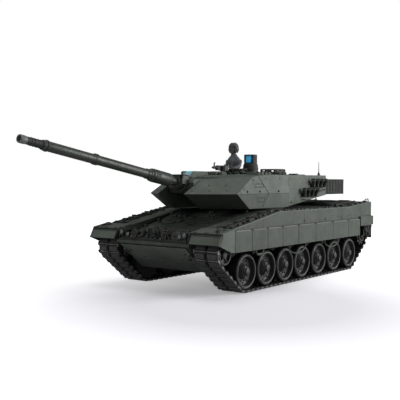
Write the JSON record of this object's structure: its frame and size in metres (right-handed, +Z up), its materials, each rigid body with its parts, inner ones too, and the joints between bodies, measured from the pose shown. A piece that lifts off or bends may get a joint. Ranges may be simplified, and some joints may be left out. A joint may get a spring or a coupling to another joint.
{
  "type": "rc tank",
  "caption": "Tracked radio control battle tank with turning turret, elevating recoiling gun, sprung road wheels, side skirts and a commander figure",
  "frame": {"origin": "On the ground under the centre of the whole box, between the two tracks, midway between the muzzle and the rear lamps", "axes": "+X is the tank's left side, -Y is the front where the gun points, +Z is up"},
  "size_m": [0.2328, 0.6904, 0.215],
  "materials": {
    "hull_green": "moulded plastic, matt grey-green paint",
    "dark_green": "moulded plastic, darker matt green",
    "wheel_dark": "dark moulded discs with rubber tyres",
    "track_black": "black moulded links with rubber pads",
    "bare_metal": "machined steel",
    "lamp_clear": "clear moulded lens in a dark bezel",
    "figure_grey": "painted figure, grey-blue tunic",
    "gun_black": "black moulded plastic",
    "gearbox_grey": "moulded gearbox housing",
    "battery_blue": "heat-shrink wrapped cells",
    "board_green": "printed circuit board",
    "speaker_black": "pressed basket and cone",
    "switch_red": "moulded switch knob"
  },
  "bodies": {
    "hull": {"lower_hull": "dark_green", "upper_hull": "hull_green", "engine_deck": "dark_green", "skirt_left": "hull_green", "skirt_right": "hull_green", "mudguards": "hull_green", "track_left": "track_black", "track_right": "track_black", "return_rollers": "wheel_dark", "headlights": "lamp_clear", "drive_units": "gearbox_grey", "battery_pack": "battery_blue", "control_board": "board_green", "speaker": "speaker_black"},
    "turret": {"turret_shell": "hull_green", "turret_bin": "dark_green", "smoke_launchers": "dark_green", "gunner_sight": "hull_green", "commander_figure": "figure_grey", "antennas": "gun_black"},
    "mantlet": {"mantlet": "dark_green"},
    "barrel": {"barrel": "hull_green"},
    "panoramic_sight": {"panoramic_sight": "dark_green"},
    "machine_gun": {"machine_gun": "gun_black"},
    "commander_hatch": {"commander_hatch": "hull_green"},
    "loader_hatch": {"loader_hatch": "hull_green"},
    "driver_hatch": {"driver_hatch": "hull_green"},
    "power_switch": {"power_switch": "switch_red"},
    "sprocket_left": {"sprocket_left": "bare_metal"},
    "sprocket_right": {"sprocket_right": "bare_metal"},
    "idler_left": {"idler_left": "wheel_dark"},
    "idler_right": {"idler_right": "wheel_dark"},
    "swing_arm_left_1": {"swing_arm_left_1": "dark_green"},
    "swing_arm_left_2": {"swing_arm_left_2": "dark_green"},
    "swing_arm_left_3": {"swing_arm_left_3": "dark_green"},
    "swing_arm_left_4": {"swing_arm_left_4": "dark_green"},
    "swing_arm_left_5": {"swing_arm_left_5": "dark_green"},
    "swing_arm_left_6": {"swing_arm_left_6": "dark_green"},
    "swing_arm_left_7": {"swing_arm_left_7": "dark_green"},
    "swing_arm_right_1": {"swing_arm_right_1": "dark_green"},
    "swing_arm_right_2": {"swing_arm_right_2": "dark_green"},
    "swing_arm_right_3": {"swing_arm_right_3": "dark_green"},
    "swing_arm_right_4": {"swing_arm_right_4": "dark_green"},
    "swing_arm_right_5": {"swing_arm_right_5": "dark_green"},
    "swing_arm_right_6": {"swing_arm_right_6": "dark_green"},
    "swing_arm_right_7": {"swing_arm_right_7": "dark_green"},
    "road_wheel_left_1": {"road_wheel_left_1": "wheel_dark"},
    "road_wheel_left_2": {"road_wheel_left_2": "wheel_dark"},
    "road_wheel_left_3": {"road_wheel_left_3": "wheel_dark"},
    "road_wheel_left_4": {"road_wheel_left_4": "wheel_dark"},
    "road_wheel_left_5": {"road_wheel_left_5": "wheel_dark"},
    "road_wheel_left_6": {"road_wheel_left_6": "wheel_dark"},
    "road_wheel_left_7": {"road_wheel_left_7": "wheel_dark"},
    "road_wheel_right_1": {"road_wheel_right_1": "wheel_dark"},
    "road_wheel_right_2": {"road_wheel_right_2": "wheel_dark"},
    "road_wheel_right_3": {"road_wheel_right_3": "wheel_dark"},
    "road_wheel_right_4": {"road_wheel_right_4": "wheel_dark"},
    "road_wheel_right_5": {"road_wheel_right_5": "wheel_dark"},
    "road_wheel_right_6": {"road_wheel_right_6": "wheel_dark"},
    "road_wheel_right_7": {"road_wheel_right_7": "wheel_dark"}
  },
  "joints": [
    {"name": "turret_turn", "type": "hinge", "parent": "hull", "child": "turret", "pos_m": [0, 0.10217, 0.109], "axis": [0, 0, 1], "range_deg": [-170, 170]},
    {"name": "gun_elevation", "type": "hinge", "parent": "turret", "child": "mantlet", "pos_m": [0, -0.01783, 0.1404], "axis": [-1, 0, 0], "range_deg": [-14, 10]},
    {"name": "barrel_recoil", "type": "slide", "parent": "mantlet", "child": "barrel", "axis": [0, 0.9848, -0.1736], "range_m": [0, 0.012], "stiffness_N_per_m": 200, "springref_m": -0.004},
    {"name": "panoramic_sight_swivel", "type": "hinge", "parent": "turret", "child": "panoramic_sight", "pos_m": [-0.022, 0.15217, 0.161], "axis": [0, 0, 1], "continuous": true},
    {"name": "machine_gun_swivel", "type": "hinge", "parent": "turret", "child": "machine_gun", "pos_m": [-0.03, 0.08517, 0.161], "axis": [0, 0, 1], "range_deg": [-50, 50]},
    {"name": "commander_hatch_swing", "type": "hinge", "parent": "turret", "child": "commander_hatch", "pos_m": [-0.052, 0.11417, 0.165], "axis": [0, 0, -1], "range_deg": [0, 20]},
    {"name": "loader_hatch_hinge", "type": "hinge", "parent": "turret", "child": "loader_hatch", "pos_m": [0.03, 0.15617, 0.165], "axis": [-1, 0, 0], "range_deg": [0, 100]},
    {"name": "driver_hatch_swing", "type": "hinge", "parent": "hull", "child": "driver_hatch", "pos_m": [-0.021, -0.03783, 0.09121], "axis": [0, -0.2546, 0.967], "range_deg": [0, 100]},
    {"name": "power_switch_slide", "type": "slide", "parent": "hull", "child": "power_switch", "axis": [0, 1, 0], "range_m": [0, 0.006]},
    {"name": "sprocket_left_spin", "type": "hinge", "parent": "hull", "child": "sprocket_left", "pos_m": [0.09, 0.31417, 0.055], "axis": [1, 0, 0], "continuous": true},
    {"name": "idler_left_spin", "type": "hinge", "parent": "hull", "child": "idler_left", "pos_m": [0.09, -0.10083, 0.056], "axis": [1, 0, 0], "continuous": true},
    {"name": "swing_arm_left_1_lift", "type": "hinge", "parent": "hull", "child": "swing_arm_left_1", "pos_m": [0.062, -0.07883, 0.0383], "axis": [1, 0, 0], "range_deg": [0, 15], "stiffness_Nm_per_rad": 0.25, "springref_deg": -22.92},
    {"name": "road_wheel_left_1_spin", "type": "hinge", "parent": "swing_arm_left_1", "child": "road_wheel_left_1", "pos_m": [0.088, -0.05183, 0.0293], "axis": [1, 0, 0], "continuous": true},
    {"name": "swing_arm_left_2_lift", "type": "hinge", "parent": "hull", "child": "swing_arm_left_2", "pos_m": [0.062, -0.02733, 0.0383], "axis": [1, 0, 0], "range_deg": [0, 15], "stiffness_Nm_per_rad": 0.25, "springref_deg": -22.92},
    {"name": "road_wheel_left_2_spin", "type": "hinge", "parent": "swing_arm_left_2", "child": "road_wheel_left_2", "pos_m": [0.088, -0.00033, 0.0293], "axis": [1, 0, 0], "continuous": true},
    {"name": "swing_arm_left_3_lift", "type": "hinge", "parent": "hull", "child": "swing_arm_left_3", "pos_m": [0.062, 0.02367, 0.0383], "axis": [1, 0, 0], "range_deg": [0, 15], "stiffness_Nm_per_rad": 0.25, "springref_deg": -22.92},
    {"name": "road_wheel_left_3_spin", "type": "hinge", "parent": "swing_arm_left_3", "child": "road_wheel_left_3", "pos_m": [0.088, 0.05067, 0.0293], "axis": [1, 0, 0], "continuous": true},
    {"name": "swing_arm_left_4_lift", "type": "hinge", "parent": "hull", "child": "swing_arm_left_4", "pos_m": [0.062, 0.07467, 0.0383], "axis": [1, 0, 0], "range_deg": [0, 15], "stiffness_Nm_per_rad": 0.25, "springref_deg": -22.92},
    {"name": "road_wheel_left_4_spin", "type": "hinge", "parent": "swing_arm_left_4", "child": "road_wheel_left_4", "pos_m": [0.088, 0.10167, 0.0293], "axis": [1, 0, 0], "continuous": true},
    {"name": "swing_arm_left_5_lift", "type": "hinge", "parent": "hull", "child": "swing_arm_left_5", "pos_m": [0.062, 0.12767, 0.0383], "axis": [1, 0, 0], "range_deg": [0, 15], "stiffness_Nm_per_rad": 0.25, "springref_deg": -22.92},
    {"name": "road_wheel_left_5_spin", "type": "hinge", "parent": "swing_arm_left_5", "child": "road_wheel_left_5", "pos_m": [0.088, 0.15467, 0.0293], "axis": [1, 0, 0], "continuous": true},
    {"name": "swing_arm_left_6_lift", "type": "hinge", "parent": "hull", "child": "swing_arm_left_6", "pos_m": [0.062, 0.18117, 0.0383], "axis": [1, 0, 0], "range_deg": [0, 15], "stiffness_Nm_per_rad": 0.25, "springref_deg": -22.92},
    {"name": "road_wheel_left_6_spin", "type": "hinge", "parent": "swing_arm_left_6", "child": "road_wheel_left_6", "pos_m": [0.088, 0.20817, 0.0293], "axis": [1, 0, 0], "continuous": true},
    {"name": "swing_arm_left_7_lift", "type": "hinge", "parent": "hull", "child": "swing_arm_left_7", "pos_m": [0.062, 0.23717, 0.0383], "axis": [1, 0, 0], "range_deg": [0, 15], "stiffness_Nm_per_rad": 0.25, "springref_deg": -22.92},
    {"name": "road_wheel_left_7_spin", "type": "hinge", "parent": "swing_arm_left_7", "child": "road_wheel_left_7", "pos_m": [0.088, 0.26417, 0.0293], "axis": [1, 0, 0], "continuous": true},
    {"name": "sprocket_right_spin", "type": "hinge", "parent": "hull", "child": "sprocket_right", "pos_m": [-0.09, 0.31417, 0.055], "axis": [1, 0, 0], "continuous": true},
    {"name": "idler_right_spin", "type": "hinge", "parent": "hull", "child": "idler_right", "pos_m": [-0.09, -0.10083, 0.056], "axis": [1, 0, 0], "continuous": true},
    {"name": "swing_arm_right_1_lift", "type": "hinge", "parent": "hull", "child": "swing_arm_right_1", "pos_m": [-0.062, -0.07883, 0.0383], "axis": [1, 0, 0], "range_deg": [0, 15], "stiffness_Nm_per_rad": 0.25, "springref_deg": -22.92},
    {"name": "road_wheel_right_1_spin", "type": "hinge", "parent": "swing_arm_right_1", "child": "road_wheel_right_1", "pos_m": [-0.088, -0.05183, 0.0293], "axis": [1, 0, 0], "continuous": true},
    {"name": "swing_arm_right_2_lift", "type": "hinge", "parent": "hull", "child": "swing_arm_right_2", "pos_m": [-0.062, -0.02733, 0.0383], "axis": [1, 0, 0], "range_deg": [0, 15], "stiffness_Nm_per_rad": 0.25, "springref_deg": -22.92},
    {"name": "road_wheel_right_2_spin", "type": "hinge", "parent": "swing_arm_right_2", "child": "road_wheel_right_2", "pos_m": [-0.088, -0.00033, 0.0293], "axis": [1, 0, 0], "continuous": true},
    {"name": "swing_arm_right_3_lift", "type": "hinge", "parent": "hull", "child": "swing_arm_right_3", "pos_m": [-0.062, 0.02367, 0.0383], "axis": [1, 0, 0], "range_deg": [0, 15], "stiffness_Nm_per_rad": 0.25, "springref_deg": -22.92},
    {"name": "road_wheel_right_3_spin", "type": "hinge", "parent": "swing_arm_right_3", "child": "road_wheel_right_3", "pos_m": [-0.088, 0.05067, 0.0293], "axis": [1, 0, 0], "continuous": true},
    {"name": "swing_arm_right_4_lift", "type": "hinge", "parent": "hull", "child": "swing_arm_right_4", "pos_m": [-0.062, 0.07467, 0.0383], "axis": [1, 0, 0], "range_deg": [0, 15], "stiffness_Nm_per_rad": 0.25, "springref_deg": -22.92},
    {"name": "road_wheel_right_4_spin", "type": "hinge", "parent": "swing_arm_right_4", "child": "road_wheel_right_4", "pos_m": [-0.088, 0.10167, 0.0293], "axis": [1, 0, 0], "continuous": true},
    {"name": "swing_arm_right_5_lift", "type": "hinge", "parent": "hull", "child": "swing_arm_right_5", "pos_m": [-0.062, 0.12767, 0.0383], "axis": [1, 0, 0], "range_deg": [0, 15], "stiffness_Nm_per_rad": 0.25, "springref_deg": -22.92},
    {"name": "road_wheel_right_5_spin", "type": "hinge", "parent": "swing_arm_right_5", "child": "road_wheel_right_5", "pos_m": [-0.088, 0.15467, 0.0293], "axis": [1, 0, 0], "continuous": true},
    {"name": "swing_arm_right_6_lift", "type": "hinge", "parent": "hull", "child": "swing_arm_right_6", "pos_m": [-0.062, 0.18117, 0.0383], "axis": [1, 0, 0], "range_deg": [0, 15], "stiffness_Nm_per_rad": 0.25, "springref_deg": -22.92},
    {"name": "road_wheel_right_6_spin", "type": "hinge", "parent": "swing_arm_right_6", "child": "road_wheel_right_6", "pos_m": [-0.088, 0.20817, 0.0293], "axis": [1, 0, 0], "continuous": true},
    {"name": "swing_arm_right_7_lift", "type": "hinge", "parent": "hull", "child": "swing_arm_right_7", "pos_m": [-0.062, 0.23717, 0.0383], "axis": [1, 0, 0], "range_deg": [0, 15], "stiffness_Nm_per_rad": 0.25, "springref_deg": -22.92},
    {"name": "road_wheel_right_7_spin", "type": "hinge", "parent": "swing_arm_right_7", "child": "road_wheel_right_7", "pos_m": [-0.088, 0.26417, 0.0293], "axis": [1, 0, 0], "continuous": true}
  ],
  "couplings": [
    {"joint": "idler_left_spin", "follows": "sprocket_left_spin", "ratio": 1.0625},
    {"joint": "road_wheel_left_1_spin", "follows": "sprocket_left_spin", "ratio": 0.77372},
    {"joint": "road_wheel_left_2_spin", "follows": "sprocket_left_spin", "ratio": 0.77372},
    {"joint": "road_wheel_left_3_spin", "follows": "sprocket_left_spin", "ratio": 0.77372},
    {"joint": "road_wheel_left_4_spin", "follows": "sprocket_left_spin", "ratio": 0.77372},
    {"joint": "road_wheel_left_5_spin", "follows": "sprocket_left_spin", "ratio": 0.77372},
    {"joint": "road_wheel_left_6_spin", "follows": "sprocket_left_spin", "ratio": 0.77372},
    {"joint": "road_wheel_left_7_spin", "follows": "sprocket_left_spin", "ratio": 0.77372},
    {"joint": "idler_right_spin", "follows": "sprocket_right_spin", "ratio": 1.0625},
    {"joint": "road_wheel_right_1_spin", "follows": "sprocket_right_spin", "ratio": 0.77372},
    {"joint": "road_wheel_right_2_spin", "follows": "sprocket_right_spin", "ratio": 0.77372},
    {"joint": "road_wheel_right_3_spin", "follows": "sprocket_right_spin", "ratio": 0.77372},
    {"joint": "road_wheel_right_4_spin", "follows": "sprocket_right_spin", "ratio": 0.77372},
    {"joint": "road_wheel_right_5_spin", "follows": "sprocket_right_spin", "ratio": 0.77372},
    {"joint": "road_wheel_right_6_spin", "follows": "sprocket_right_spin", "ratio": 0.77372},
    {"joint": "road_wheel_right_7_spin", "follows": "sprocket_right_spin", "ratio": 0.77372}
  ]
}
